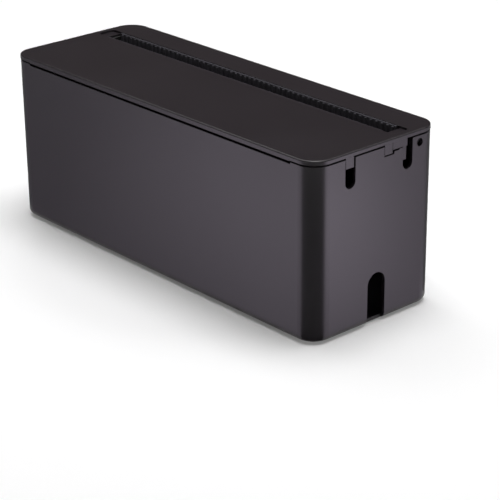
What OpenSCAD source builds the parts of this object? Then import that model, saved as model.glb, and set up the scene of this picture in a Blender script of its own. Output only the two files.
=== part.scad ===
// Cable management box with a slotted lid that holds phones and tablets upright.
// The open-topped shell takes a power strip; leads leave by arches at the foot of both ends
// and by notches in the end rims. The lid lifts straight off and carries a device tray.
// Frame: +X to the right-hand end, +Y to the back, +Z up, origin under the middle of the box
// on the surface that it stands on. Millimetres.

/* [Overall size] */
// Length over the lid, left to right
box_length = 322; // [290:1:400]
// Depth over the lid, front to back
box_depth = 115; // [108:1:150]
// Height from the table to the top of the lid
box_height = 127.5; // [100:0.5:180]
// Radius of the four upright corners, measured on the lid
corner_radius = 15; // [12:0.5:17]
// How far the lid stands out past the shell all round
lid_overhang = 0.3; // [0:0.1:1]

/* [Shell] */
// Thickness of the side walls
wall = 2.5; // [2:0.1:3.5]
// Thickness of the floor
floor_thickness = 2.5; // [2:0.1:4]
// Rounding of the shell's bottom edge
bottom_round = 4.5; // [0.5:0.1:5.5]
// How deep the seam between shell and lid is set into the wall
seam_inset = 1.5; // [0.8:0.1:1.6]
// Height of the ribs moulded on the floor
floor_rib_height = 1.2; // [0.6:0.1:3]
// Thickness of the ribs moulded on the floor
floor_rib_width = 1.6; // [1:0.1:3]
// Distance between the ribs moulded on the floor
floor_rib_pitch = 56; // [40:1:70]

/* [Lead openings] */
// Width of the arch at the foot of each end wall
arch_width = 16.2; // [8:0.2:24]
// Height of the arch above the shell's bottom edge
arch_height = 36; // [20:0.5:60]
// How far the arch lies behind the middle of the end wall
arch_offset = 0.6; // [-6:0.1:6]
// Width of the notches in the end rims
notch_width = 9; // [7:0.2:12]
// Depth of the notches below the top of the lid
notch_depth = 24.7; // [22:0.1:34]
// Distance from the front of the lid to the middle of the front notch
front_notch_inset = 32.6; // [26:0.2:36]
// Distance from the back of the lid to the middle of the rear notch
rear_notch_inset = 30.1; // [28:0.2:33]
// Diameter of the round hole beside the rear notch
side_hole_d = 5.5; // [5:0.1:6.5]
// Distance from the back of the lid to the middle of the round hole
side_hole_inset = 18.8; // [17.5:0.1:19.5]
// Distance from the top of the lid down to the middle of the round hole
side_hole_drop = 9; // [8.5:0.1:12]

/* [Lid] */
// Thickness of the lid plate
lid_thickness = 3; // [2.6:0.1:4.5]
// Rounding of the lid's top edge
lid_round = 1; // [0.3:0.1:2]
// Height of the open seam under the lid
seam_height = 1.3; // [0.5:0.1:2]
// Distance from each end of the lid to the end of the deeper band along its front
front_band_inset = 22; // [18:1:60]
// How far the front band hangs below the lid plate
front_band_drop = 0.5; // [0.3:0.1:2]
// Height of the open seam under the front band
front_seam_height = 1.9; // [0.8:0.1:2.5]
// Width of the front notch that stays open beside its tab
front_tab_gap = 1.5; // [0.5:0.05:2]
// Depth of the front tab below the top of the lid
front_tab_depth = 10.7; // [7:0.1:16]
// Width of the tab in the rear notch
rear_tab_width = 3.2; // [2:0.1:4]
// Depth of the rear tab below the top of the lid
rear_tab_depth = 17.7; // [12:0.1:20]
// Width of the raised tongue in the end skirt
tongue_width = 8.1; // [5:0.1:9]
// Depth of the tongue below the top of the lid
tongue_depth = 10.3; // [9.5:0.1:13]
// Distance from the tongue's front edge to the middle of the rear notch
tongue_reach = 21.4; // [19:0.1:24]
// Depth of the stepped skirt behind the tongue, below the top of the lid
step_depth = 8.5; // [6:0.1:9]
// Height of the open seam under the tongue and the step
skirt_seam_height = 0.85; // [0.4:0.05:1.2]
// Length of the open seam under the step, from the tongue backwards
step_seam_length = 5.4; // [3:0.1:6]
// How far the tongue stands proud of the skirt behind it
tongue_proud = 0.5; // [0.2:0.1:1]
// Thickness of the ribs under the lid
lid_rib_width = 1.4; // [1:0.1:2.5]
// Depth of the ribs under the lid
lid_rib_height = 4; // [2:0.5:8]
// Depth of the rims that locate the lid inside the shell
rim_height = 6; // [4:0.5:10]
// Thickness of the rims that locate the lid inside the shell
rim_width = 1.6; // [1.2:0.1:2.5]

/* [Device slot] */
// Distance from each end of the lid to the end of the slot
slot_end_inset = 5; // [4:0.5:12]
// Width of the slot in the lid
slot_width = 14.8; // [12:0.1:18]
// Distance from the back of the lid to the slot's rear edge
slot_rear_inset = 24; // [23.5:0.1:26]
// Radius of the slot's corners
slot_corner = 3.5; // [1:0.1:5]
// Depth from the top of the lid to the tray's floor
tray_depth = 25; // [15:0.5:40]
// Length of the sunken ledge that closes the slot past each end of the device tray
end_ledge_length = 8.5; // [5:0.5:16]
// How far the end ledges lie below the top of the lid
end_ledge_drop = 1.6; // [0.8:0.1:2]
// Thickness of the tray's walls
tray_wall = 1.8; // [1.2:0.1:2.2]
// Thickness of the tray's floor
tray_floor = 2; // [1.5:0.1:3]
// Width of the tray's fixing flanges
flange_width = 9; // [8:0.1:9.5]
// Thickness of the tray's fixing flanges
flange_thickness = 1.8; // [1.2:0.1:3]
// Length of each lead window in the tray's floor
window_length = 40; // [20:1:50]
// Width of each lead window in the tray's floor
window_width = 8; // [5:0.1:9]
// Distance between the middles of neighbouring lead windows
window_pitch = 70; // [56:1:72]
// Thickness of the rubber pads behind their ribs
pad_base = 1.5; // [1:0.1:2]
// How far the ribs of the rubber pads stand out
pad_rib = 1; // [0.5:0.1:1.3]
// Distance between the ribs of the rubber pads
pad_rib_pitch = 5; // [4:0.1:8]
// Thickness of the pad ribs where they leave the pad
pad_rib_root = 2.6; // [1.5:0.1:3.5]
// Thickness of the pad ribs at the tip
pad_rib_tip = 1.6; // [1:0.1:2.5]
// How far the pads stay below the top of the lid
pad_drop = 0.3; // [0.1:0.1:2]

/* [Fixings and feet] */
// Diameter of the screw bosses under the lid
boss_d = 7; // [6:0.1:8]
// Height of the screw bosses under the lid
boss_height = 5; // [4:0.1:8]
// Distance from each end of the tray to the middle of its outer screws
screw_end_inset = 22.5; // [10:0.5:40]
// Diameter of the tray screws
screw_d = 2.9; // [2.5:0.1:3.5]
// Diameter of the screw heads
screw_head_d = 5.6; // [5:0.1:6.5]
// Height of the screw heads
screw_head_height = 1.9; // [1.4:0.1:2.4]
// How far the screws reach into the bosses
screw_reach = 5.8; // [4:0.1:6]
// How far the inner head of each locating stud stands out past its shank
stud_head_lip = 0.9; // [0.4:0.1:1]
// Height of the stud's inner head
stud_head_height = 1.2; // [0.8:0.1:2]
// Thickness of the lug that holds each stud
lug_thickness = 3; // [2:0.1:4]
// How far the lug stands out round the head of its stud
lug_rim = 1; // [0.6:0.1:1.2]
// Diameter of the rubber feet
foot_d = 11; // [8:0.1:12]
// How far the feet stand out below the shell
foot_proud = 1; // [0.6:0.1:3]
// Depth of the pockets that the feet sit in
foot_pocket = 0.6; // [0.3:0.1:1.2]

/* [Hidden] */
$fn = 96;

// Clearances
seat_gap = 0.1;      // lid plate above the shell's inner lip
tab_fit = 0.25;      // tabs and skirt beside the edges of their cut-outs
closed_fit = 0.15;   // skirt over the part of its cut-out that shows no seam
rim_gap = 0.4;       // locating rims and lugs inside the walls
band_gap = 0.4;      // front band outside the line of the shell's inner lip
stud_gap = 0.3;      // stud's end inside the wall
stud_side_gap = 0.45; // stud's shank inside the line of the round hole, on the radius
pin_fit = 0.05;      // stud and screws in their bores, on the radius
flange_fit = 0.15;   // screws in the tray's flanges, on the radius
pocket_fit = 0.2;    // feet in their pockets, on the radius
pad_fit = 0.2;       // pads between the tray's end walls
foot_margin = 0.3;   // foot pockets inside the rounding of the shell's bottom edge
overrun = 1;         // how far a cut runs past a face

// Small shapes
foot_bevel = 0.3;
stud_bevel = 0.4;
screw_head_round = 0.8;
screw_tip = 1.2;
tongue_bevel = 1.2;
floor_rib_count = 5;
floor_rib_setback = 9;
lid_rib_count = 3;
lid_rib_pitch = 100;
lid_long_rib_inset = 22;
lid_long_rib_pitch = 24;
side_rim_inset = 20;
window_count = 4;

// Shell
shell_length = box_length - 2 * lid_overhang;
shell_depth = box_depth - 2 * lid_overhang;
shell_radius = corner_radius - lid_overhang;
inner_length = shell_length - 2 * wall;
inner_depth = shell_depth - 2 * wall;
inner_radius = shell_radius - wall;
plate_z = box_height - lid_thickness;
lip_z = plate_z - seat_gap;
seam_z = plate_z - seam_height;
front_seam_z = plate_z - front_band_drop - front_seam_height;
floor_z = foot_proud + floor_thickness;
wall_x = inner_length / 2;

// Places along the depth
front_notch_y = -box_depth / 2 + front_notch_inset;
rear_notch_y = box_depth / 2 - rear_notch_inset;
side_hole_y = box_depth / 2 - side_hole_inset;
slot_rear_y = box_depth / 2 - slot_rear_inset;
slot_front_y = slot_rear_y - slot_width;
slot_y = (slot_rear_y + slot_front_y) / 2;
tongue_y = rear_notch_y - tongue_reach;
step_y = tongue_y + tongue_width;
rear_tab_y = rear_notch_y - notch_width / 2 + tab_fit;
front_tab_y = front_notch_y - notch_width / 2 + tab_fit;

// Heights
notch_z = box_height - notch_depth;
side_hole_z = box_height - side_hole_drop;
tongue_z = box_height - tongue_depth;
step_z = box_height - step_depth;
tray_top_z = box_height - tray_depth;
flange_z = plate_z - boss_height - flange_thickness;
screw_y = tray_wall + flange_width / 2;

// Lid and what it carries
let_in = (lid_thickness - lid_round) / 2; // how far what hangs from the lid is let into its plate
front_band_length = box_length - 2 * front_band_inset;
front_band_thickness = seam_inset + lid_overhang - band_gap;
front_tab_width = notch_width - tab_fit - front_tab_gap;
slot_length = box_length - 2 * slot_end_inset;
tray_length = slot_length - 2 * end_ledge_length;
pad_length = tray_length - 2 * tray_wall - 2 * pad_fit;
screw_pitch = tray_length / 2 - screw_end_inset;
stud_d = side_hole_d - 2 * stud_side_gap;
stud_head_d = stud_d + 2 * stud_head_lip;
lug_width = stud_head_d + 2 * lug_rim;

// Feet, on the diagonals of the round corners
foot_shift = (shell_radius - bottom_round - foot_d / 2 - pocket_fit - foot_margin) * cos(45);
foot_x = shell_length / 2 - shell_radius + foot_shift;
foot_y = shell_depth / 2 - shell_radius + foot_shift;

// Rectangle with round corners, centred
module rounded_outline(length, depth, radius) {
  square([length, depth - 2 * radius], center = true);
  square([length - 2 * radius, depth], center = true);
  for (side = [-1, 1], face = [-1, 1])
    translate([side * (length / 2 - radius), face * (depth / 2 - radius)]) circle(radius);
}

// Slot outline with half-round ends, centred
module round_ended_outline(length, width) {
  straight = length - width;
  square([straight, width], center = true);
  for (side = [-1, 1]) translate([side * straight / 2, 0]) circle(width / 2);
}

// Upright section of a side wall whose top edge is rounded
module rounded_edge_section(reach, height, edge) {
  square([reach, height - edge]);
  square([reach - edge, height]);
  translate([reach - edge, height - edge]) circle(edge);
}

// Block with round upright corners and a rounded top edge
module soft_topped_block(length, depth, height, radius, edge) {
  core_length = length - 2 * radius;
  core_depth = depth - 2 * radius;
  translate([-core_length / 2, -core_depth / 2, 0]) cube([core_length, core_depth, height]);
  for (turn = [0, 180]) rotate([0, 0, turn]) {
    translate([core_length / 2, core_depth / 2, 0]) rotate([90, 0, 0])
      linear_extrude(core_depth) rounded_edge_section(radius, height, edge);
    translate([-core_length / 2, core_depth / 2, 0]) rotate([90, 0, 90])
      linear_extrude(core_length) rounded_edge_section(radius, height, edge);
    translate([core_length / 2, core_depth / 2, 0])
      rotate_extrude(angle = 90) rounded_edge_section(radius, height, edge);
    translate([-core_length / 2, core_depth / 2, 0]) rotate([0, 0, 90])
      rotate_extrude(angle = 90) rounded_edge_section(radius, height, edge);
  }
}

// Draws the children at the right-hand end and mirrored at the left-hand end
module both_ends() {
  children();
  mirror([1, 0, 0]) children();
}

// Turns an outline drawn in depth and height into a plate from one x to another
module end_plate(from_x, to_x) {
  translate([from_x, 0, 0]) rotate([90, 0, 90]) linear_extrude(to_x - from_x) children();
}

// Outline of a notch that is open at the rim
module notch_outline(middle_y) {
  radius = notch_width / 2;
  translate([middle_y, notch_z + radius]) circle(radius);
  translate([middle_y - radius, notch_z + radius])
    square([notch_width, lip_z - notch_z - radius + overrun]);
}

// Outline of the arch at the foot of an end wall
module arch_outline() {
  radius = arch_width / 2;
  spring = foot_proud + arch_height - radius;
  translate([arch_offset, spring]) circle(radius);
  translate([arch_offset - radius, 0]) square([arch_width, spring]);
}

// Outline of the stepped cut-out that takes the lid's end skirt
module skirt_cutout_outline() {
  top = lip_z + overrun;
  step_end = step_y + step_seam_length;
  polygon([
    [tongue_y - tab_fit, top],
    [tongue_y - tab_fit, tongue_z - skirt_seam_height],
    [step_y + 2 * tab_fit, tongue_z - skirt_seam_height],
    [step_y + 4 * tab_fit, step_z - skirt_seam_height],
    [step_end, step_z - skirt_seam_height],
    [step_end, step_z - closed_fit],
    [rear_notch_y, step_z - closed_fit],
    [rear_notch_y, top]
  ]);
}

// Outline of the lid's end skirt, with the tab that hangs in the rear notch
module skirt_outline() {
  top = plate_z + let_in;
  polygon([
    [tongue_y, top],
    [tongue_y, tongue_z],
    [step_y, tongue_z],
    [step_y, step_z],
    [rear_tab_y, step_z],
    [rear_tab_y, box_height - rear_tab_depth],
    [rear_tab_y + rear_tab_width, box_height - rear_tab_depth],
    [rear_tab_y + rear_tab_width, step_z],
    [rear_notch_y, step_z],
    [rear_notch_y, top]
  ]);
}

module shell_body() {
  translate([0, 0, lip_z]) mirror([0, 0, 1])
    soft_topped_block(shell_length, shell_depth, lip_z - foot_proud, shell_radius, bottom_round);
}

// The open seam: the outer part of the wall stops short of the lid, and all of it does so at
// the front band
module seam_cut() {
  height = lip_z - seam_z + overrun;
  translate([0, 0, seam_z]) linear_extrude(height) difference() {
    rounded_outline(shell_length + 2 * overrun, shell_depth + 2 * overrun, shell_radius + overrun);
    rounded_outline(shell_length - 2 * seam_inset, shell_depth - 2 * seam_inset,
      shell_radius - seam_inset);
  }
  translate([-front_band_length / 2 - tab_fit, -shell_depth / 2 - overrun, front_seam_z])
    cube([front_band_length + 2 * tab_fit, wall + 2 * overrun, lip_z - front_seam_z + overrun]);
}

module floor_ribs() {
  rib_length = inner_depth - 2 * floor_rib_setback;
  root_z = floor_z - floor_thickness / 2;
  for (place = [-(floor_rib_count - 1) / 2 : (floor_rib_count - 1) / 2])
    translate([place * floor_rib_pitch - floor_rib_width / 2, -rib_length / 2, root_z])
      cube([floor_rib_width, rib_length, floor_thickness / 2 + floor_rib_height]);
}

module shell() {
  outer_x = shell_length / 2 + overrun;
  color("#3a3636") {
    difference() {
      shell_body();
      translate([0, 0, floor_z]) linear_extrude(box_height)
        rounded_outline(inner_length, inner_depth, inner_radius);
      seam_cut();
      both_ends() {
        end_plate(wall_x - overrun, outer_x) notch_outline(front_notch_y);
        end_plate(wall_x - overrun, outer_x) notch_outline(rear_notch_y);
        end_plate(wall_x - overrun, outer_x) skirt_cutout_outline();
        end_plate(wall_x - overrun, outer_x) arch_outline();
        translate([wall_x - overrun, side_hole_y, side_hole_z]) rotate([0, 90, 0])
          cylinder(d = side_hole_d, h = wall + 2 * overrun);
      }
      for (side = [-1, 1], face = [-1, 1]) translate([side * foot_x, face * foot_y, 0])
        cylinder(r = foot_d / 2 + pocket_fit, h = foot_proud + foot_pocket);
    }
    floor_ribs();
  }
}

// Bevelled face that stands proud at the tongue
module tongue_face() {
  inner_x = shell_length / 2 - tongue_proud;
  translate([0, 0, tongue_z]) linear_extrude(plate_z - tongue_z + let_in) polygon([
    [inner_x, tongue_y],
    [inner_x + tongue_proud, tongue_y],
    [inner_x + tongue_proud, step_y - tongue_bevel],
    [inner_x, step_y]
  ]);
}

module end_skirts() {
  outer_x = shell_length / 2;
  both_ends() {
    end_plate(wall_x, outer_x)
      translate([front_tab_y, box_height - front_tab_depth])
        square([front_tab_width, front_tab_depth - lid_thickness + let_in]);
    end_plate(wall_x, outer_x - tongue_proud) skirt_outline();
    tongue_face();
  }
}

// Rims that drop inside the front and rear walls, and short ones inside the ends
module locating_rims() {
  rim_y = inner_depth / 2 - rim_gap;
  rim_x = wall_x - rim_gap;
  long_rim = inner_length - 2 * side_rim_inset;
  end_from = front_notch_y + notch_width;
  end_to = tongue_y - 2 * tab_fit;
  for (face = [-1, 1])
    translate([-long_rim / 2, face * (rim_y - rim_width / 2) - rim_width / 2, plate_z - rim_height])
      cube([long_rim, rim_width, rim_height + let_in]);
  both_ends() translate([rim_x - rim_width, end_from, plate_z - rim_height])
    cube([rim_width, end_to - end_from, rim_height + let_in]);
}

// Stiffening ribs under the front part of the lid
module lid_ribs() {
  front_y = -inner_depth / 2 + rim_gap + rim_width / 2;
  back_y = slot_front_y - tray_wall - flange_width - rim_gap;
  long_rib = inner_length - 2 * side_rim_inset;
  rib_z = plate_z - lid_rib_height;
  for (place = [0 : 1])
    translate([-long_rib / 2, -box_depth / 2 + lid_long_rib_inset + place * lid_long_rib_pitch, rib_z])
      cube([long_rib, lid_rib_width, lid_rib_height + let_in]);
  for (place = [-(lid_rib_count - 1) / 2 : (lid_rib_count - 1) / 2])
    translate([place * lid_rib_pitch - lid_rib_width / 2, front_y, rib_z])
      cube([lid_rib_width, back_y - front_y, lid_rib_height + let_in]);
}

// Places the children at the six tray screws
module at_screws() {
  for (place = [-1 : 1], face = [-1, 1])
    translate([place * screw_pitch, slot_y + face * (slot_width / 2 + screw_y), 0]) children();
}

module stud_lug() {
  lug_x = wall_x - rim_gap - lug_thickness;
  end_plate(lug_x, lug_x + lug_thickness) {
    translate([side_hole_y, side_hole_z]) circle(lug_width / 2);
    translate([side_hole_y - lug_width / 2, side_hole_z])
      square([lug_width, plate_z - side_hole_z + let_in]);
  }
}

module lid() {
  color("#383434") difference() {
    union() {
      translate([0, 0, plate_z])
        soft_topped_block(box_length, box_depth, lid_thickness, corner_radius, lid_round);
      translate([-front_band_length / 2, -box_depth / 2, plate_z - front_band_drop])
        cube([front_band_length, front_band_thickness, front_band_drop + let_in]);
      end_skirts();
      locating_rims();
      lid_ribs();
      at_screws() translate([0, 0, plate_z - boss_height])
        cylinder(d = boss_d, h = boss_height + let_in);
      both_ends() stud_lug();
    }
    translate([0, slot_y, plate_z - overrun]) linear_extrude(lid_thickness + 2 * overrun)
      square([tray_length, slot_width], center = true);
    translate([0, slot_y, box_height - end_ledge_drop]) linear_extrude(end_ledge_drop + overrun)
      rounded_outline(slot_length, slot_width, slot_corner);
    at_screws() translate([0, 0, plate_z - boss_height - overrun])
      cylinder(r = screw_d / 2 + pin_fit, h = overrun + screw_reach + screw_tip / 2);
    both_ends() translate([wall_x - rim_gap - lug_thickness - overrun, side_hole_y, side_hole_z])
      rotate([0, 90, 0]) cylinder(r = stud_d / 2 + pin_fit, h = lug_thickness + 2 * overrun);
  }
}

// Section of the tray across the slot: walls, floor and fixing flanges
module tray_section() {
  floor_drop = tray_top_z - tray_floor;
  for (face = [0, 1]) mirror([face, 0]) {
    translate([slot_width / 2, floor_drop]) square([tray_wall, plate_z - floor_drop]);
    translate([slot_width / 2, flange_z]) square([tray_wall + flange_width, flange_thickness]);
  }
  translate([-slot_width / 2 - tray_wall, floor_drop]) square([slot_width + 2 * tray_wall, tray_floor]);
}

module device_tray() {
  color("#2c292b") difference() {
    union() {
      translate([0, slot_y, 0]) end_plate(-tray_length / 2, tray_length / 2) tray_section();
      both_ends() translate([tray_length / 2 - tray_wall, slot_front_y, tray_top_z - tray_floor])
        cube([tray_wall, slot_width, plate_z - tray_top_z + tray_floor]);
    }
    for (place = [-(window_count - 1) / 2 : (window_count - 1) / 2])
      translate([place * window_pitch, slot_y, tray_top_z - tray_floor - overrun])
        linear_extrude(tray_floor + 2 * overrun) round_ended_outline(window_length, window_width);
    at_screws() translate([0, 0, flange_z - overrun])
      cylinder(r = screw_d / 2 + flange_fit, h = flange_thickness + 2 * overrun);
  }
}

// Plan of a ribbed pad: the back lies on y = 0 and the ribs point to -y
module pad_outline() {
  rib_count = floor((pad_length - pad_rib_root) / pad_rib_pitch);
  translate([-pad_length / 2, -pad_base]) square([pad_length, pad_base]);
  for (place = [-rib_count / 2 : rib_count / 2]) translate([place * pad_rib_pitch, -pad_base])
    polygon([
      [-pad_rib_root / 2, 0],
      [-pad_rib_tip / 2, -pad_rib],
      [pad_rib_tip / 2, -pad_rib],
      [pad_rib_root / 2, 0]
    ]);
}

module slot_pad() {
  color("#262328") linear_extrude(box_height - pad_drop - tray_top_z) pad_outline();
}

module slot_pad_front() {
  translate([0, slot_front_y, tray_top_z]) mirror([0, 1, 0]) slot_pad();
}

module slot_pad_rear() {
  translate([0, slot_rear_y, tray_top_z]) slot_pad();
}

// Half section of a pan-head screw, point up, head under z = 0
module screw_section() {
  length = flange_thickness + screw_reach;
  polygon([
    [0, 0],
    [0, length],
    [screw_d / 6, length],
    [screw_d / 2, length - screw_tip],
    [screw_d / 2, 0]
  ]);
  translate([0, -screw_head_height]) {
    square([screw_head_d / 2 - screw_head_round, screw_head_height]);
    translate([0, screw_head_round]) square([screw_head_d / 2, screw_head_height - screw_head_round]);
    translate([screw_head_d / 2 - screw_head_round, screw_head_round]) circle(screw_head_round);
  }
}

module tray_screws() {
  color("#8d8f93") at_screws() translate([0, 0, flange_z]) rotate_extrude() screw_section();
}

// Half section of a stud, its visible end up
module stud_section() {
  length = lug_thickness + rim_gap - stud_gap;
  polygon([
    [0, -stud_head_height],
    [0, length],
    [stud_d / 2 - stud_bevel, length],
    [stud_d / 2, length - stud_bevel],
    [stud_d / 2, 0],
    [stud_head_d / 2, 0],
    [stud_head_d / 2, -stud_head_height]
  ]);
}

module lid_stud() {
  color("#55525a") translate([wall_x - rim_gap - lug_thickness, side_hole_y, side_hole_z])
    rotate([0, 90, 0]) rotate_extrude() stud_section();
}

module lid_stud_right() {
  lid_stud();
}

module lid_stud_left() {
  mirror([1, 0, 0]) lid_stud();
}

// Half section of a foot, from the table up into its pocket
module foot_section() {
  height = foot_proud + foot_pocket;
  polygon([
    [0, 0],
    [foot_d / 2 - foot_bevel, 0],
    [foot_d / 2, foot_bevel],
    [foot_d / 2, height],
    [0, height]
  ]);
}

module foot(side, face) {
  color("#1c1a1b") translate([side * foot_x, face * foot_y, 0]) rotate_extrude() foot_section();
}

module foot_front_left() {
  foot(-1, -1);
}

module foot_front_right() {
  foot(1, -1);
}

module foot_rear_left() {
  foot(-1, 1);
}

module foot_rear_right() {
  foot(1, 1);
}

shell();
lid();
device_tray();
slot_pad_front();
slot_pad_rear();
tray_screws();
lid_stud_left();
lid_stud_right();
foot_front_left();
foot_front_right();
foot_rear_left();
foot_rear_right();
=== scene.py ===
import math

import bmesh
import bpy
from bpy.props import FloatProperty, FloatVectorProperty, IntProperty, PointerProperty
from mathutils import Matrix, Vector


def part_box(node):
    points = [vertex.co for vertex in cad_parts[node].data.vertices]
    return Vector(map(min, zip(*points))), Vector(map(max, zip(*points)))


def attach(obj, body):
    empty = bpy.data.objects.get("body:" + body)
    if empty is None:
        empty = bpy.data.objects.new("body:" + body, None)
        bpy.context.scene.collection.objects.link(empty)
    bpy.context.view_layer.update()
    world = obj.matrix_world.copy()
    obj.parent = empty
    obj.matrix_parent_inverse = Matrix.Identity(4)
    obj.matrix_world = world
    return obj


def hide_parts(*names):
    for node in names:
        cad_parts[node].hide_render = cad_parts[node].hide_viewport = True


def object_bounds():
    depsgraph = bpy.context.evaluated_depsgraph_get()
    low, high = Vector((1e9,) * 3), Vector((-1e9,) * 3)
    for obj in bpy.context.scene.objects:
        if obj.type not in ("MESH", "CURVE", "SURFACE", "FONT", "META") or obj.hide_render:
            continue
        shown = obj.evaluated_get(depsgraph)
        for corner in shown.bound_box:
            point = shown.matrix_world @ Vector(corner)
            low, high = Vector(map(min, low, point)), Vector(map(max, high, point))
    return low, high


bl_info = {
    "name": "Cable Management Box",
    "version": (1, 0, 0),
    "blender": (4, 5, 0),
    "location": "View3D > Sidebar > Cable Box",
    "description": "Finishes the cable management box and sets it on a studio floor",
    "category": "Object",
}

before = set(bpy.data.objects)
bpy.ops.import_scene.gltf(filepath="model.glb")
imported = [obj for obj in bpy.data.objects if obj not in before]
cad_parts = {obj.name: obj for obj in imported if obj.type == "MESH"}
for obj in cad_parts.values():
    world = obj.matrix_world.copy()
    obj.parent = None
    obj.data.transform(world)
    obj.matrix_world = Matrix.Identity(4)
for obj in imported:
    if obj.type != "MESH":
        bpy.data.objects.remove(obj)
CAD_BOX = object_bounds()

MM = 0.001

# Patterns of the materials
FLOW_SIZE = 70 * MM
TRAY_GRAIN = 0.9 * MM
PAD_SPECK = 0.8 * MM
FOOT_SPECK = 0.6 * MM
WAX_CLOUD = 1.2 * MM
TURNING_PITCH = 0.4 * MM
ZINC_CLOUD = 1.5 * MM
WAVE_REPEAT = 20 / math.tau  # repeats in a metre of a wave texture whose scale is 1

# Modelled pieces
ON_PLANE = 0.01 * MM  # an edge nearer to a plane than this lies in it
FACING = 0.99  # a face whose normal has more than this along a direction faces that way
SMOOTH_ANGLE = math.radians(35)  # edges sharper than this stay sharp
SCREW_COLUMNS, SCREW_ROWS = 3, 2
HEAD_ROUNDING = 0.5  # as a share of a screw head's height
POINT_BEVEL = 0.7  # as a share of a screw shank's radius
RECESS_TAPER = 0.55  # size of a cross recess at its bottom as a share of that at its mouth
GROOVE_SLOPE = 0.2  # width of a groove's slopes as a share of the ring beside them

# Camera
SHOT_PIXELS = 500  # the photograph is square
SENSOR_WIDTH = 36.0  # mm
NEAREST_SEEN, FARTHEST_SEEN = 10 * MM, 50

# Floor and wall
ROOM_RADIUS, WALL_HEIGHT = 6, 8
ROOM_SIDES = 96
NEAR_RISE = (120 * MM, 180 * MM)  # between these distances the floor's own light leaves the shadow
FAR_RISE = (500 * MM, 1900 * MM)  # and between these it grows again, past the reach of the lamps

# Cards and panels that the box mirrors, seen only in its reflections: painted shade and painted reflections
MIRRORED_VIEW = math.radians(-48.3)  # the view's angle round the box as its walls mirror it
ACROSS_VIEW = (math.cos(MIRRORED_VIEW), math.sin(MIRRORED_VIEW), 0)
CARD_RADIUS, CARD_HEIGHT = 450 * MM, 3 * MM
CARD_SIDES = 120
PANEL_HEIGHT = 2 * MM
PANEL_REACH = 700 * MM  # from the box's middle to the left end of one and the right end of the other
FRONT_PANEL_DEPTH = 500 * MM  # from the front wall outwards
RIGHT_PANEL_BACK = 600 * MM  # from the box's middle backwards

LAMP_AIM = (0, 0, 60 * MM)


# Colours and sizes that a user would change

def linear(hex_colour):
    """An sRGB colour such as #3a3636 as the linear values that the shaders take."""
    shares = [int(hex_colour[at:at + 2], 16) / 255 for at in (1, 3, 5)]
    return tuple(s / 12.92 if s <= 0.04045 else ((s + 0.055) / 1.055) ** 2.4 for s in shares)


def colour_choice(name, description, hex_colour):
    return FloatVectorProperty(
        name=name, description=description, subtype="COLOR", size=3, min=0, max=1, default=linear(hex_colour)
    )


def length_choice(name, description, millimetres):
    return FloatProperty(
        name=name, description=description, subtype="DISTANCE", unit="LENGTH", min=0, precision=5,
        default=millimetres * MM,
    )


def angle_choice(name, description, degrees):
    return FloatProperty(
        name=name, description=description, subtype="ANGLE", unit="ROTATION", default=math.radians(degrees)
    )


def share_choice(name, description, share):
    return FloatProperty(name=name, description=description, subtype="FACTOR", min=0, max=1, default=share)


def panel_choice(name, light):
    return FloatVectorProperty(
        name=name, size=6, default=light,
        description="From where to where its light grows across the view, the same outwards, in metres, "
        "and its weakest and strongest light",
    )


class CableBoxFinish(bpy.types.PropertyGroup):
    """Colours and surface texture of the box's materials."""

    box_colour: colour_choice("Box", "Satin plastic of the shell and the lid", "#231e23")
    tray_colour: colour_choice("Tray", "Matt plastic of the device tray", "#1f1e1f")
    pad_colour: colour_choice("Pads", "Rubber of the ribbed slot pads", "#3a383e")
    foot_colour: colour_choice("Feet", "Rubber of the feet", "#161516")
    stud_colour: colour_choice("Studs", "Plastic of the locating studs", "#5a585f")
    steel_colour: colour_choice("Screws", "Zinc plating of the tray screws", "#b9bbc0")
    edge_radius: length_choice("Edge rounding", "Rounding that the mould leaves on every sharp edge", 0.35)
    grain_size: length_choice("Grain", "Size of the grain in the moulded surface", 0.7)
    grain_depth: length_choice("Grain depth", "Depth of the grain in the moulded surface", 0.006)


class CableBoxSizes(bpy.types.PropertyGroup):
    """Sizes of the small pieces that are modelled here."""

    pad_back: length_choice("Pad back", "Thickness of a slot pad behind its ribs", 1.5)
    pad_pitch: length_choice("Rib pitch", "Distance between the ribs of a slot pad", 5)
    pad_rib_root: length_choice("Rib root", "Thickness of a pad rib where it leaves the pad", 2.6)
    pad_rib_tip: length_choice("Rib tip", "Thickness of a pad rib at its tip", 1.6)
    pad_rib_round: length_choice("Rib rounding", "Rounding of the ribs' outer edges", 0.7)
    pad_rib_drop: length_choice("Rib drop", "How far the ribs' tops lie below the top of the pad", 0.7)
    screw_head: length_choice("Screw head", "Diameter of the tray screws' heads", 5.6)
    screw_shank: length_choice("Screw shank", "Diameter of the tray screws' shanks", 2.9)
    screw_head_height: length_choice("Head height", "Height of the tray screws' heads", 1.9)
    recess_span: length_choice("Recess span", "Span of the cross recess in a screw head", 3)
    recess_width: length_choice("Recess width", "Width of each slot of the cross recess", 0.75)
    recess_depth: length_choice("Recess depth", "Depth of the cross recess", 1.1)
    foot_ring: length_choice("Foot ring", "Width of the ring and of the groove on a foot's sole", 1.1)
    foot_groove: length_choice("Foot groove", "Depth of the groove in a foot's sole", 0.35)
    foot_bevel: length_choice("Foot bevel", "Rounding of the sole's rim", 0.3)
    round_steps: IntProperty(
        name="Round steps", description="Sides of a round piece", default=48, min=24, max=96
    )


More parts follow.
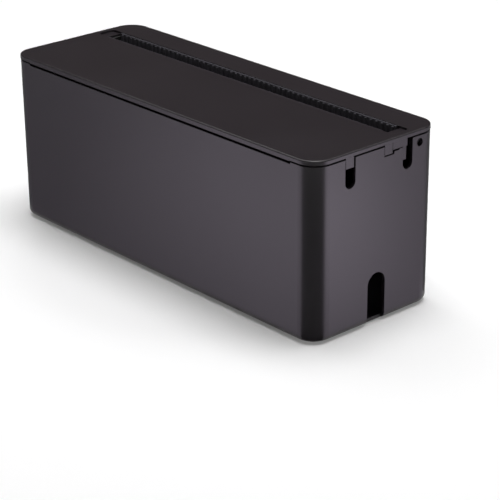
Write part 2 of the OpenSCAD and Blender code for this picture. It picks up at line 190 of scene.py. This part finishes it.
class CableBoxStage(bpy.types.PropertyGroup):
    """Camera, floor, lamps and all that the box mirrors."""

    azimuth: angle_choice("Azimuth", "Angle of the camera round the box from its front", 48.29)
    elevation: angle_choice("Elevation", "Angle of the camera above the floor", 23.37)
    roll: angle_choice("Roll", "Tilt of the picture", -0.49)
    distance: length_choice("Distance", "Distance of the camera from its aim", 1293.9)
    aim_x: length_choice("Aim along", "Place of the camera's aim along the box", 36.7)
    aim_z: length_choice("Aim height", "Height of the camera's aim", 14.0)
    focal_pixels: FloatProperty(
        name="Focal length", description="Focal length in picture pixels", default=1826.8
    )
    floor_colour: colour_choice("Floor", "Pale studio floor", "#e6e6e7")
    floor_lift: share_choice("Floor lift", "Light of its own that brings the floor to white", 0.2)
    shadow_lift: share_choice("Shadow lift", "The floor's own light near the box", 0.115)
    far_lift: share_choice("Far lift", "What the floor's own light gains far out, past the lamps", 0.8)
    room_colour: colour_choice("Room", "Grey of the studio round the floor", "#3e3b36")
    card_inset: length_choice("Card inset", "How far the corner card's tip reaches in under the box", 9)
    panel_gap: length_choice("Panel gap", "Distance from the box to the lit panels that it mirrors", 3)
    panel_colour: colour_choice("Panel colour", "Light of the panels", "#f7ecfd")
    front_light: panel_choice("Front panel", (-0.040, 0.120, -0.045, 0.200, 0.43, 1.48))
    right_light: panel_choice("Right panel", (0.056, 0.122, 0.139, 0.308, 0.88, 2.38))
    lamp_power: FloatProperty(name="Lamps", description="Strength of all lamps", default=1, min=0)


# Materials

def new_material(name):
    """An empty material: its node tree and the socket that takes the surface."""
    material = bpy.data.materials.new(name)
    material.use_nodes = True
    material.node_tree.nodes.clear()
    output = material.node_tree.nodes.new("ShaderNodeOutputMaterial")
    return material, material.node_tree, output.inputs["Surface"]


def add_node(tree, kind, inputs=None, **options):
    """Adds a node, sets its options and gives each input, by its name or place, a value or a link."""
    node = tree.nodes.new(kind)
    for option, value in options.items():
        setattr(node, option, value)
    for name, value in (inputs or {}).items():
        if isinstance(value, bpy.types.NodeSocket):
            tree.links.new(value, node.inputs[name])
        else:
            node.inputs[name].default_value = value
    return node


def opaque(colour, shade=1.0):
    """A colour with alpha, made darker or lighter by a share."""
    return tuple(channel * shade for channel in colour) + (1.0,)


def per_metre(size):
    """Scale of a pattern on Object coordinates whose features have that size."""
    return 1 / size


def mottle(tree, place, size, detail, colour, darkest, lightest):
    """A pattern whose spots have that size, and a colour that varies with it between two shares."""
    spots = add_node(
        tree, "ShaderNodeTexNoise", {"Vector": place, "Scale": per_metre(size), "Detail": detail}
    )
    tone = add_node(
        tree, "ShaderNodeMix",
        {"Factor": spots.outputs["Fac"], "A": opaque(colour, darkest), "B": opaque(colour, lightest)},
        data_type="RGBA",
    )
    return spots.outputs["Fac"], tone.outputs["Result"]


def moulded_grain(tree, place, size, depth, edge_radius):
    """The normal of a spark-eroded mould surface whose sharp edges are slightly rounded."""
    edges = add_node(tree, "ShaderNodeBevel", {"Radius": edge_radius}, samples=6)
    grain = add_node(
        tree, "ShaderNodeTexNoise", {"Vector": place, "Scale": per_metre(size), "Detail": 1.0}
    )
    bump = add_node(
        tree, "ShaderNodeBump",
        {
            "Strength": 1.0,
            "Distance": depth,
            "Height": grain.outputs["Fac"],
            "Normal": edges.outputs["Normal"],
        },
    )
    return bump.outputs["Normal"]


def satin_abs(finish):
    """ABS moulded in a finely spark-eroded tool: near black, with a soft, even sheen."""
    material, tree, surface = new_material("ABS satin moulded black")
    place = add_node(tree, "ShaderNodeTexCoord").outputs["Object"]
    # The melt's flow leaves slow changes of tone and gloss, a hand's width across
    flow, tone = mottle(tree, place, FLOW_SIZE, 2.0, finish.box_colour, 0.92, 1.08)
    gloss = add_node(
        tree, "ShaderNodeMapRange",
        {"Value": flow, "From Min": 0.3, "From Max": 0.7, "To Min": 0.28, "To Max": 0.32},
    )
    plastic = add_node(
        tree, "ShaderNodeBsdfPrincipled",
        {
            "Base Color": tone,
            "Roughness": gloss.outputs["Result"],
            "IOR": 1.53,
            "Normal": moulded_grain(tree, place, finish.grain_size, finish.grain_depth, finish.edge_radius),
        },
    )
    tree.links.new(plastic.outputs["BSDF"], surface)
    return material


def matt_abs(finish):
    """ABS from a coarser eroded tool, as on pieces that lie inside: dark, with hardly any sheen."""
    material, tree, surface = new_material("ABS matt moulded black")
    place = add_node(tree, "ShaderNodeTexCoord").outputs["Object"]
    _, tone = mottle(tree, place, TRAY_GRAIN, 2.0, finish.tray_colour, 0.9, 1.1)
    plastic = add_node(
        tree, "ShaderNodeBsdfPrincipled",
        {
            "Base Color": tone,
            "Roughness": 0.52,
            "IOR": 1.53,
            "Normal": moulded_grain(tree, place, TRAY_GRAIN, 2 * finish.grain_depth, finish.edge_radius),
        },
    )
    tree.links.new(plastic.outputs["BSDF"], surface)
    return material


def black_rubber(name, colour, speck):
    """Vulcanised rubber, moulded: dull and slightly dusty, with next to no gloss."""
    material, tree, surface = new_material(name)
    place = add_node(tree, "ShaderNodeTexCoord").outputs["Object"]
    dust, tone = mottle(tree, place, speck, 3.0, colour, 0.85, 1.25)
    bump = add_node(tree, "ShaderNodeBump", {"Strength": 0.6, "Distance": 0.02 * MM, "Height": dust})
    rubber = add_node(
        tree, "ShaderNodeBsdfPrincipled",
        {
            "Base Color": tone,
            "Roughness": 0.9,
            "IOR": 1.52,
            "Specular IOR Level": 0.3,
            "Normal": bump.outputs["Normal"],
        },
    )
    tree.links.new(rubber.outputs["BSDF"], surface)
    return material


def turned_acetal(finish, axis):
    """Acetal rod, turned: a waxy dark grey with faint rings about its axis, which lies along X."""
    material, tree, surface = new_material("Acetal turned grey")
    place = add_node(tree, "ShaderNodeTexCoord").outputs["Object"]
    _, tone = mottle(tree, place, WAX_CLOUD, 2.0, finish.stud_colour, 0.85, 1.15)
    # A lathe's feed of about 0.1 mm a turn is too fine to show, so the rings are drawn wider apart
    on_axis = add_node(tree, "ShaderNodeMapping", {"Vector": place, "Location": (0, -axis.y, -axis.z)})
    rings = add_node(
        tree, "ShaderNodeTexWave",
        {"Vector": on_axis.outputs["Vector"], "Scale": per_metre(TURNING_PITCH * WAVE_REPEAT)},
        wave_type="RINGS", rings_direction="X",
    )
    bump = add_node(
        tree, "ShaderNodeBump", {"Strength": 0.5, "Distance": 0.01 * MM, "Height": rings.outputs["Fac"]}
    )
    acetal = add_node(
        tree, "ShaderNodeBsdfPrincipled",
        {"Base Color": tone, "Roughness": 0.3, "IOR": 1.48, "Normal": bump.outputs["Normal"]},
    )
    tree.links.new(acetal.outputs["BSDF"], surface)
    return material


def zinc_steel(finish):
    """Steel with bright zinc plating: a pale bluish metal, slightly clouded."""
    material, tree, surface = new_material("Steel zinc plated")
    place = add_node(tree, "ShaderNodeTexCoord").outputs["Object"]
    cloud, tone = mottle(tree, place, ZINC_CLOUD, 3.0, finish.steel_colour, 0.8, 1.0)
    rough = add_node(tree, "ShaderNodeMapRange", {"Value": cloud, "To Min": 0.22, "To Max": 0.42})
    steel = add_node(
        tree, "ShaderNodeBsdfPrincipled",
        {"Base Color": tone, "Metallic": 1.0, "Roughness": rough.outputs["Result"]},
    )
    tree.links.new(steel.outputs["BSDF"], surface)
    return material


def studio_floor(stage):
    """Pale painted board. Far out, light of its own brings it to white; near the box its shadow stays."""
    material, tree, surface = new_material("Painted board pale")
    sight = add_node(tree, "ShaderNodeLightPath")
    seen = sight.outputs["Is Camera Ray"]
    for ray in ("Is Glossy Ray", "Is Transmission Ray"):
        either = add_node(tree, "ShaderNodeMath", {0: seen, 1: sight.outputs[ray]}, operation="MAXIMUM")
        seen = either.outputs["Value"]
    place = add_node(tree, "ShaderNodeTexCoord").outputs["Object"]
    reach = add_node(tree, "ShaderNodeVectorMath", {0: place}, operation="LENGTH")
    rises = ((NEAR_RISE, stage.shadow_lift, stage.floor_lift), (FAR_RISE, 0, stage.far_lift))
    lifts = []
    for (first, last), low, high in rises:
        rise = add_node(
            tree, "ShaderNodeMapRange",
            {
                "Value": reach.outputs["Value"],
                "From Min": first,
                "From Max": last,
                "To Min": low,
                "To Max": high,
            },
            interpolation_type="SMOOTHSTEP",
        )
        lifts.append(rise.outputs["Result"])
    far_out = add_node(tree, "ShaderNodeMath", {0: lifts[0], 1: lifts[1]}, operation="ADD")
    lift = add_node(tree, "ShaderNodeMath", {0: seen, 1: far_out.outputs["Value"]}, operation="MULTIPLY")
    board = add_node(tree, "ShaderNodeBsdfDiffuse", {"Color": opaque(stage.floor_colour)})
    glow = add_node(tree, "ShaderNodeEmission", {"Strength": lift.outputs["Value"]})
    both = add_node(tree, "ShaderNodeAddShader", {0: board.outputs["BSDF"], 1: glow.outputs["Emission"]})
    tree.links.new(both.outputs["Shader"], surface)
    return material


def grey_reflection_card(tone):
    """A plain grey card without any gloss, seen only in the box's reflections, where its tone is painted
    shade on the box's corner and rims.
    """
    material, tree, surface = new_material("Card flocked grey")
    card = add_node(tree, "ShaderNodeBsdfDiffuse", {"Color": opaque(linear(tone))})
    tree.links.new(card.outputs["BSDF"], surface)
    return material


def reflection_glow_panel(colour, outwards, light):
    """A glow seen only in the box's reflections, a painted reflection on its walls, which grows across the
    view and outwards from the box.
    """
    material, tree, surface = new_material("Acrylic opal lit from behind")
    place = add_node(tree, "ShaderNodeTexCoord").outputs["Object"]
    across_first, across_last, out_first, out_last, weakest, strongest = light
    ways = ((ACROSS_VIEW, across_first, across_last), (outwards, out_first, out_last))
    shares = []
    for towards, first, last in ways:
        reach = add_node(tree, "ShaderNodeVectorMath", {0: place, 1: towards}, operation="DOT_PRODUCT")
        share = add_node(
            tree, "ShaderNodeMapRange", {"Value": reach.outputs["Value"], "From Min": first, "From Max": last}
        )
        shares.append(share.outputs["Result"])
    both = add_node(tree, "ShaderNodeMath", {0: shares[0], 1: shares[1]}, operation="MULTIPLY")
    level = add_node(
        tree, "ShaderNodeMapRange", {"Value": both.outputs["Value"], "To Min": weakest, "To Max": strongest}
    )
    lit = add_node(
        tree, "ShaderNodeEmission", {"Color": opaque(colour), "Strength": level.outputs["Result"]}
    )
    tree.links.new(lit.outputs["Emission"], surface)
    return material


# Modelling helpers

def start_clean():
    """Object mode with nothing selected, so that an operator meets only the piece it is for."""
    if bpy.context.mode != "OBJECT":
        bpy.ops.object.mode_set(mode="OBJECT")
    bpy.ops.object.select_all(action="DESELECT")


def select_only(piece):
    """Object mode with just this piece selected and active."""
    start_clean()
    piece.select_set(True)
    bpy.context.view_layer.objects.active = piece


def edit(piece):
    """Opens a piece in edit mode with nothing of it selected."""
    select_only(piece)
    bpy.ops.object.mode_set(mode="EDIT")
    bpy.ops.mesh.select_all(action="DESELECT")


def pick(piece, kind, test):
    """Selects the faces or edges of the piece in edit mode that pass the test, and nothing else."""
    bpy.ops.mesh.select_mode(type="FACE" if kind == "faces" else "EDGE")
    bpy.ops.mesh.select_all(action="DESELECT")
    mesh = bmesh.from_edit_mesh(piece.data)
    chosen = [part for part in getattr(mesh, kind) if test(part)]
    if not chosen:
        raise RuntimeError(f"nothing to pick on {piece.name}")
    for part in chosen:
        part.select_set(True)
    bmesh.update_edit_mesh(piece.data)


def middle(part):
    """Middle of an edge or a face."""
    return sum((corner.co for corner in part.verts), Vector()) / len(part.verts)


def settle(piece):
    """Puts the piece's place into its mesh, with its object at the origin."""
    select_only(piece)
    bpy.ops.object.transform_apply(location=True, rotation=True, scale=True)


def join(name, pieces):
    """Joins the pieces, if they are more than one, into the first and names it."""
    select_only(pieces[0])
    if len(pieces) > 1:
        for piece in pieces[1:]:
            piece.select_set(True)
        bpy.ops.object.join()
    pieces[0].name = name
    pieces[0].data.name = name
    return pieces[0]


def apply_modifier(piece, kind, **settings):
    """Adds a modifier with these settings and applies it."""
    select_only(piece)
    modifier = piece.modifiers.new(kind.title(), kind)
    for setting, value in settings.items():
        setattr(modifier, setting, value)
    bpy.ops.object.modifier_apply(modifier=modifier.name)


def shade(piece):
    """Smooth shading that breaks at sharp edges."""
    select_only(piece)
    bpy.ops.object.shade_smooth_by_angle(angle=SMOOTH_ANGLE)


def dress(piece, material):
    """Gives every slot of a piece the material."""
    if not piece.material_slots:
        piece.data.materials.append(material)
    for slot in piece.material_slots:
        slot.material = material


def finish_piece(piece, material, slot, body, *nodes):
    """Dresses a modelled piece, lets it ride and puts it in the place of its nodes."""
    shade(piece)
    dress(piece, material)
    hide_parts(*nodes)
    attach(piece, body)


# Pieces

def model_slot_pad(node, facing, sizes):
    """A ribbed rubber strip over the place of a pad node. facing is the way its ribs point along Y."""
    low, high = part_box(node)
    length, height = high.x - low.x, high.z - low.z
    back_y = low.y if facing > 0 else high.y
    rib_out = high.y - low.y - sizes.pad_back
    start_clean()
    bpy.ops.mesh.primitive_cube_add(size=1)
    back = bpy.context.object
    back.dimensions = (length, sizes.pad_back, height)
    back.location = (0, back_y + facing * sizes.pad_back / 2, (low.z + high.z) / 2)
    settle(back)
    edit(back)
    # The two long edges at the top, whose middles lie far from the ends
    pick(back, "edges", lambda e: middle(e).z > high.z - ON_PLANE and abs(middle(e).x) < length / 4)
    bpy.ops.mesh.bevel(offset=sizes.pad_rib_round, segments=3)
    start_clean()

    let_in = sizes.pad_back / 2  # how far a rib reaches into the back
    rib_top = high.z - sizes.pad_rib_drop
    bpy.ops.mesh.primitive_cube_add(size=1)
    rib = bpy.context.object
    rib.dimensions = (sizes.pad_rib_root, rib_out + let_in, rib_top - low.z)
    count = math.floor((length - sizes.pad_rib_root) / sizes.pad_pitch) + 1
    first_x = -(count - 1) / 2 * sizes.pad_pitch
    middle_y = back_y + facing * (sizes.pad_back + (rib_out - let_in) / 2)
    rib.location = (first_x, middle_y, (low.z + rib_top) / 2)
    settle(rib)
    edit(rib)
    pick(rib, "faces", lambda f: f.normal.y * facing > FACING)
    narrowing = sizes.pad_rib_tip / sizes.pad_rib_root
    bpy.ops.transform.resize(value=(narrowing, 1, 1), center_override=(first_x, 0, 0))
    tip_y = back_y + facing * (sizes.pad_back + rib_out)
    pick(rib, "edges", lambda e: abs(middle(e).y - tip_y) < ON_PLANE or middle(e).z > rib_top - ON_PLANE)
    bpy.ops.mesh.bevel(offset=sizes.pad_rib_round, segments=3)
    start_clean()
    apply_modifier(
        rib, "ARRAY", count=count, use_relative_offset=False, use_constant_offset=True,
        constant_offset_displace=(sizes.pad_pitch, 0, 0),
    )
    return join("ribbed_" + node, [back, rib])


def model_screw(sizes, base, length):
    """The head and the shank of a pan-head screw with a cross recess, point up, its head's flat at base."""
    steps = sizes.round_steps
    radius = sizes.screw_shank / 2
    start_clean()
    head_middle = base - Vector((0, 0, sizes.screw_head_height / 2))
    bpy.ops.mesh.primitive_cylinder_add(
        vertices=steps, radius=sizes.screw_head / 2, depth=sizes.screw_head_height, location=head_middle
    )
    head = bpy.context.object
    settle(head)
    sole = base.z - sizes.screw_head_height
    edit(head)
    pick(head, "edges", lambda e: abs(middle(e).z - sole) < ON_PLANE)
    bpy.ops.mesh.bevel(offset=sizes.screw_head_height * HEAD_ROUNDING, segments=5)
    start_clean()

    slots = []
    for turn in (0, math.pi / 2):
        bpy.ops.mesh.primitive_cube_add(size=1, location=(base.x, base.y, sole), rotation=(0, 0, turn))
        slot = bpy.context.object
        slot.dimensions = (sizes.recess_span, sizes.recess_width, 2 * sizes.recess_depth)
        settle(slot)
        edit(slot)
        pick(slot, "faces", lambda f: f.normal.z > FACING)
        bpy.ops.transform.resize(
            value=(RECESS_TAPER, RECESS_TAPER, 1), center_override=(base.x, base.y, 0)
        )
        start_clean()
        slots.append(slot)
    for slot in slots:
        apply_modifier(head, "BOOLEAN", operation="DIFFERENCE", object=slot, solver="EXACT")
    for slot in slots:
        bpy.data.objects.remove(slot)

    start_clean()
    bpy.ops.mesh.primitive_cylinder_add(
        vertices=steps, radius=radius, depth=length, location=base + Vector((0, 0, length / 2))
    )
    shank = bpy.context.object
    settle(shank)
    edit(shank)
    pick(shank, "faces", lambda f: f.normal.z > FACING)
    bpy.ops.mesh.bevel(offset=radius * POINT_BEVEL, segments=1)
    start_clean()
    return [head, shank]


def copy_to(piece, shift, name):
    """A copy of a piece with its own mesh, moved by a shift that goes into the mesh."""
    twin = piece.copy()
    twin.data = piece.data.copy()
    twin.name = name
    bpy.context.collection.objects.link(twin)
    twin.location = shift
    settle(twin)
    return twin


def model_foot(node, sizes):
    """A round rubber foot whose sole has a groove between its rim and its middle."""
    low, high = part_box(node)
    radius, height = (high.x - low.x) / 2, high.z - low.z
    centre = (low + high) / 2
    start_clean()
    bpy.ops.mesh.primitive_cylinder_add(
        vertices=sizes.round_steps, radius=radius, depth=height, location=centre
    )
    foot = bpy.context.object
    settle(foot)
    edit(foot)
    pick(foot, "edges", lambda e: abs(middle(e).z - low.z) < ON_PLANE)
    bpy.ops.mesh.bevel(offset=sizes.foot_bevel, segments=3)
    pick(foot, "faces", lambda f: f.normal.z < -FACING)
    for rise in (sizes.foot_groove, -sizes.foot_groove):
        bpy.ops.mesh.inset(thickness=sizes.foot_ring)
        bpy.ops.mesh.inset(thickness=sizes.foot_ring * GROOVE_SLOPE)
        bpy.ops.transform.translate(value=(0, 0, rise))
    start_clean()
    return join("rubber_" + node, [foot])


# Operators, in the order in which main calls them

class CABLEBOX_OT_stage(bpy.types.Operator):
    """Sets up the camera, the lamps, the floor and wall, and the cards and panels that the box mirrors"""

    bl_idname = "cable_box.stage"
    bl_label = "Stage"

    def execute(self, context):
        stage = context.scene.cable_box_stage
        self.add_camera(context, stage)
        self.add_floor(stage)
        self.add_cards(stage)
        self.add_room(context, stage)
        self.add_lamps(stage)
        context.scene.view_settings.view_transform = "Standard"
        return {"FINISHED"}

    def add_camera(self, context, stage):
        across = Vector((math.cos(stage.azimuth), math.sin(stage.azimuth), 0))
        back = Vector((
            math.sin(stage.azimuth) * math.cos(stage.elevation),
            -math.cos(stage.azimuth) * math.cos(stage.elevation),
            math.sin(stage.elevation),
        ))
        up = back.cross(across)
        right = across * math.cos(stage.roll) + up * math.sin(stage.roll)
        top = up * math.cos(stage.roll) - across * math.sin(stage.roll)
        lens = bpy.data.cameras.new("shot_camera")
        lens.sensor_width = SENSOR_WIDTH
        lens.lens = stage.focal_pixels / SHOT_PIXELS * SENSOR_WIDTH
        lens.clip_start = NEAREST_SEEN
        lens.clip_end = FARTHEST_SEEN
        camera = bpy.data.objects.new("shot_camera", lens)
        turn = Matrix((right, top, back)).transposed().to_4x4()
        aim = Vector((stage.aim_x, 0, stage.aim_z))
        camera.matrix_world = Matrix.Translation(aim + back * stage.distance) @ turn
        context.collection.objects.link(camera)
        context.scene.camera = camera

    def add_floor(self, stage):
        """A round floor and, at its rim, a wall of the same board that is seen but never mirrored."""
        start_clean()
        bpy.ops.mesh.primitive_circle_add(
            vertices=ROOM_SIDES, radius=ROOM_RADIUS, fill_type="NGON", location=(0, 0, 0)
        )
        floor = bpy.context.object
        floor.name = "studio_floor"
        board = studio_floor(stage)
        dress(floor, board)
        start_clean()
        bpy.ops.mesh.primitive_cylinder_add(
            vertices=ROOM_SIDES, radius=ROOM_RADIUS, depth=WALL_HEIGHT, end_fill_type="NOTHING",
            location=(0, 0, WALL_HEIGHT / 2),
        )
        wall = bpy.context.object
        wall.name = "studio_wall"
        settle(wall)
        dress(wall, board)
        self.hide_from(wall, "diffuse", "glossy", "volume_scatter", "shadow")

    def add_cards(self, stage):
        """Grey cards round the corners and glowing panels before the faces, seen only in what the box
        mirrors: painted shade and painted reflections on the box.
        """
        low, high = CAD_BOX
        inset = stage.card_inset
        gap = stage.panel_gap
        # The cards' tones are painted shade: the box mirrors them on its front right corner and its rims in
        # place of the pale floor.
        # Name, place of the tip, first and last angle in degrees, and tone
        fans = (
            ("card_front_right", (high.x - inset, low.y + inset), -107, 13, "#6a6a6c"),
            ("card_front_left", (low.x, low.y), 130, 205, "#828284"),
            ("card_rear_right", (high.x, high.y), 73, 142, "#7e7e80"),
        )
        for name, tip, first, last, tone in fans:
            self.hide_card(self.fan(name, tip, first, last), grey_reflection_card(tone))
        # The panels' glow is a painted reflection: the front and right walls mirror it, lighter across the
        # view and outwards.
        # Name, two opposite corners, the way out from the box, and light
        panels = (
            (
                "light_panel_front", (-PANEL_REACH, low.y - FRONT_PANEL_DEPTH), (high.x, low.y - gap),
                (0, -1, 0), stage.front_light,
            ),
            (
                "light_panel_right", (high.x + gap, low.y), (PANEL_REACH, RIGHT_PANEL_BACK),
                (1, 0, 0), stage.right_light,
            ),
        )
        for name, first, last, outwards, light in panels:
            start_clean()
            centre = [(a + b) / 2 for a, b in zip(first, last)] + [PANEL_HEIGHT]
            bpy.ops.mesh.primitive_plane_add(size=1, location=centre)
            panel = bpy.context.object
            panel.name = name
            panel.dimensions = (last[0] - first[0], last[1] - first[1], 0)
            settle(panel)
            self.hide_card(panel, reflection_glow_panel(stage.panel_colour, outwards, light))

    def fan(self, name, tip, first, last):
        """The part of a round card about a tip that lies between two angles in degrees."""
        start_clean()
        bpy.ops.mesh.primitive_circle_add(
            vertices=CARD_SIDES, radius=CARD_RADIUS, fill_type="TRIFAN", location=tip + (CARD_HEIGHT,)
        )
        card = bpy.context.object
        card.name = name
        settle(card)
        edit(card)

        def left_out(face):
            place = middle(face) - Vector(tip + (0,))
            return (math.degrees(math.atan2(place.y, place.x)) - first) % 360 > last - first

        pick(card, "faces", left_out)
        bpy.ops.mesh.delete(type="FACE")
        start_clean()
        return card

    def hide_from(self, piece, *rays):
        """Hides a piece of the stage from these kinds of rays."""
        for ray in rays:
            setattr(piece, "visible_" + ray, False)

    def hide_card(self, card, material):
        """Dresses a card or a panel that only mirrored light meets."""
        self.hide_from(card, "camera", "diffuse", "transmission", "volume_scatter", "shadow")
        dress(card, material)

    def add_room(self, context, stage):
        """The even grey that lies above the floor in all that the box mirrors."""
        world = bpy.data.worlds.new("studio_room")
        world.use_nodes = True
        world.node_tree.nodes["Background"].inputs["Color"].default_value = opaque(stage.room_colour)
        context.scene.world = world

    def add_lamps(self, stage):
        aim = Vector(LAMP_AIM)
        # Name, place and diameter in metres, and watts
        lamps = (
            ("softbox_above", Vector((0.1, 0.1, 1.6)), 0.9, 18),
            ("softbox_left", Vector((-0.9, 0.1, 1.6)), 1.2, 9.5),
            ("softbox_rear", Vector((0.3, 0.9, 1.9)), 2.0, 12),
        )
        for name, place, size, watts in lamps:
            light = bpy.data.lights.new(name, "AREA")
            light.shape = "DISK"
            light.size = size
            light.energy = watts * stage.lamp_power
            lamp = bpy.data.objects.new(name, light)
            lamp.location = place
            lamp.rotation_euler = (aim - place).to_track_quat("-Z", "Y").to_euler()
            bpy.context.collection.objects.link(lamp)


class CABLEBOX_OT_box(bpy.types.Operator):
    """Finishes the shell and the lid in satin plastic"""

    bl_idname = "cable_box.box"
    bl_label = "Shell and lid"

    def execute(self, context):
        plastic = satin_abs(context.scene.cable_box_finish)
        for node in ("shell", "lid"):
            dress(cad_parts[node], plastic)
        return {"FINISHED"}


class CABLEBOX_OT_device_tray(bpy.types.Operator):
    """Finishes the device tray in matt plastic"""

    bl_idname = "cable_box.device_tray"
    bl_label = "Device tray"

    def execute(self, context):
        dress(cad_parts["device_tray"], matt_abs(context.scene.cable_box_finish))
        return {"FINISHED"}


class CABLEBOX_OT_slot_pads(bpy.types.Operator):
    """Models both ribbed rubber pads of the slot"""

    bl_idname = "cable_box.slot_pads"
    bl_label = "Slot pads"

    def execute(self, context):
        sizes = context.scene.cable_box_sizes
        colour = context.scene.cable_box_finish.pad_colour
        rubber = black_rubber("Rubber EPDM moulded", colour, PAD_SPECK)
        for node, facing in (("slot_pad_front", 1), ("slot_pad_rear", -1)):
            pad = model_slot_pad(node, facing, sizes)
            finish_piece(pad, rubber, "slot_rubber", "lid_unit", node)
        return {"FINISHED"}


class CABLEBOX_OT_tray_screws(bpy.types.Operator):
    """Models the six cross-head screws that hold the tray to the lid"""

    bl_idname = "cable_box.tray_screws"
    bl_label = "Tray screws"

    def execute(self, context):
        sizes = context.scene.cable_box_sizes
        low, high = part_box("tray_screws")
        inset = sizes.screw_head / 2
        flat_z = low.z + sizes.screw_head_height
        first = Vector((low.x + inset, low.y + inset, flat_z))
        pieces = model_screw(sizes, first, high.z - flat_z)
        screw = join("tray_screw_1", pieces)
        step_x = (high.x - low.x - sizes.screw_head) / (SCREW_COLUMNS - 1)
        step_y = (high.y - low.y - sizes.screw_head) / (SCREW_ROWS - 1)
        screws = [screw]
        for column in range(SCREW_COLUMNS):
            for row in range(SCREW_ROWS):
                if column or row:
                    shift = (column * step_x, row * step_y, 0)
                    screws.append(copy_to(screw, shift, f"tray_screw_{len(screws) + 1}"))
        steel = zinc_steel(context.scene.cable_box_finish)
        for screw in screws:
            finish_piece(screw, steel, "screw_steel", "lid_unit", "tray_screws")
        return {"FINISHED"}


class CABLEBOX_OT_lid_studs(bpy.types.Operator):
    """Finishes the two locating studs in turned acetal"""

    bl_idname = "cable_box.lid_studs"
    bl_label = "Lid studs"

    def execute(self, context):
        low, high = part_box("lid_stud_right")
        acetal = turned_acetal(context.scene.cable_box_finish, (low + high) / 2)
        for node in ("lid_stud_left", "lid_stud_right"):
            dress(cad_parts[node], acetal)
        return {"FINISHED"}


class CABLEBOX_OT_feet(bpy.types.Operator):
    """Models the four rubber feet"""

    bl_idname = "cable_box.feet"
    bl_label = "Feet"

    def execute(self, context):
        sizes = context.scene.cable_box_sizes
        colour = context.scene.cable_box_finish.foot_colour
        rubber = black_rubber("Rubber natural moulded", colour, FOOT_SPECK)
        for node in ("foot_front_left", "foot_front_right", "foot_rear_left", "foot_rear_right"):
            foot = model_foot(node, sizes)
            finish_piece(foot, rubber, "foot_rubber", "base", node)
        return {"FINISHED"}


class CABLEBOX_PT_panel(bpy.types.Panel):
    """Lists the pieces with their colours and sizes"""

    bl_idname = "CABLEBOX_PT_panel"
    bl_label = "Cable Management Box"
    bl_space_type = "VIEW_3D"
    bl_region_type = "UI"
    bl_category = "Cable Box"

    def draw(self, context):
        layout = self.layout
        scene = context.scene
        for operator in OPERATORS:
            layout.operator(operator.bl_idname)
        for group in (scene.cable_box_finish, scene.cable_box_sizes, scene.cable_box_stage):
            column = layout.column(align=True)
            for name in group.__annotations__:
                column.prop(group, name)


OPERATORS = (
    CABLEBOX_OT_stage,
    CABLEBOX_OT_box,
    CABLEBOX_OT_device_tray,
    CABLEBOX_OT_slot_pads,
    CABLEBOX_OT_tray_screws,
    CABLEBOX_OT_lid_studs,
    CABLEBOX_OT_feet,
)
GROUPS = (CableBoxFinish, CableBoxSizes, CableBoxStage)
CLASSES = GROUPS + OPERATORS + (CABLEBOX_PT_panel,)


def register():
    for each in CLASSES:
        bpy.utils.register_class(each)
    bpy.types.Scene.cable_box_finish = PointerProperty(type=CableBoxFinish)
    bpy.types.Scene.cable_box_sizes = PointerProperty(type=CableBoxSizes)
    bpy.types.Scene.cable_box_stage = PointerProperty(type=CableBoxStage)


def unregister():
    del bpy.types.Scene.cable_box_stage
    del bpy.types.Scene.cable_box_sizes
    del bpy.types.Scene.cable_box_finish
    for each in reversed(CLASSES):
        bpy.utils.unregister_class(each)


def main():
    register()
    bpy.ops.cable_box.stage()
    bpy.ops.cable_box.box()
    bpy.ops.cable_box.device_tray()
    bpy.ops.cable_box.slot_pads()
    bpy.ops.cable_box.tray_screws()
    bpy.ops.cable_box.lid_studs()
    bpy.ops.cable_box.feet()


if __name__ == "__main__":
    main()
